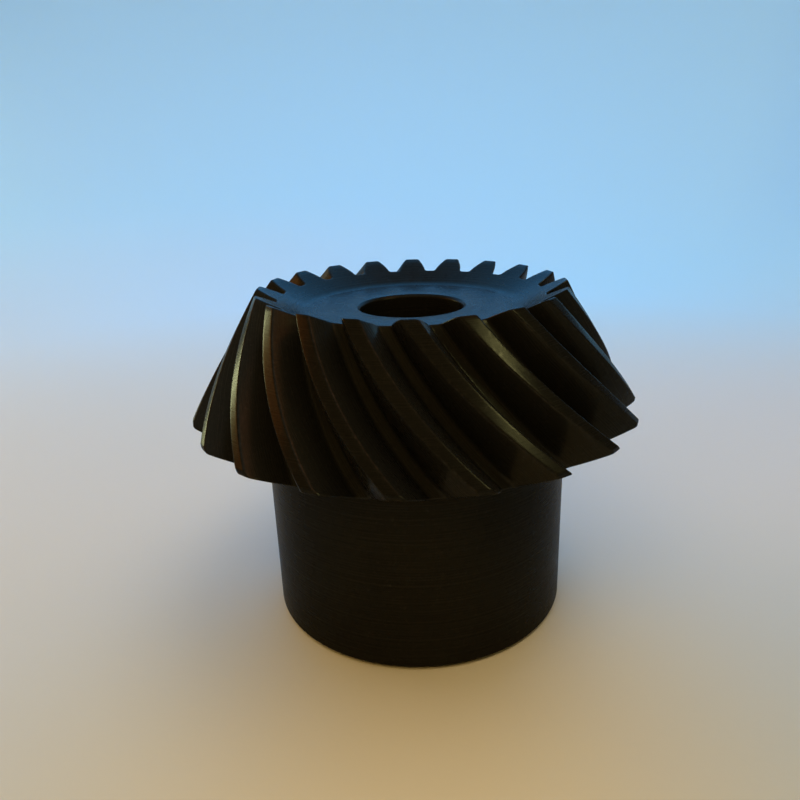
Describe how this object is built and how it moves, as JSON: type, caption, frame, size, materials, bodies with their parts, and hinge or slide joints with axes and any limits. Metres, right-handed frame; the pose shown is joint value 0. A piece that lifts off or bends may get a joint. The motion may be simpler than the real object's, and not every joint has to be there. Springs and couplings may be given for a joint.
{
  "type": "spiral bevel pinion gear",
  "caption": "Left-hand spiral bevel pinion with a long plain hub, a through bore and socket set screws that lock it to a shaft.",
  "frame": {"origin": "on the bore axis, on the end face of the hub, which the gear stands on", "axes": "+Z along the bore, from the hub to the small end of the teeth; +X and +Y square to it, with the set screws at 45 and 135 degrees from +X towards +Y"},
  "size_m": [0.087, 0.087, 0.0661],
  "materials": {
    "black_oxide_steel": "black oxide on turned and milled steel, satin, lightly oiled",
    "screw_steel": "black oxide on hardened alloy steel, satin"
  },
  "bodies": {
    "gear": {"gear_body": "black_oxide_steel"},
    "left_screw": {"set_screw_left": "screw_steel"},
    "right_screw": {"set_screw_right": "screw_steel"}
  },
  "joints": [
    {"name": "left_screw_travel", "type": "slide", "parent": "gear", "child": "left_screw", "axis": [-0.7071, 0.7071, 0], "range_m": [-0.0005, 0.016]},
    {"name": "right_screw_travel", "type": "slide", "parent": "gear", "child": "right_screw", "axis": [0.7071, 0.7071, 0], "range_m": [-0.0005, 0.016]}
  ]
}
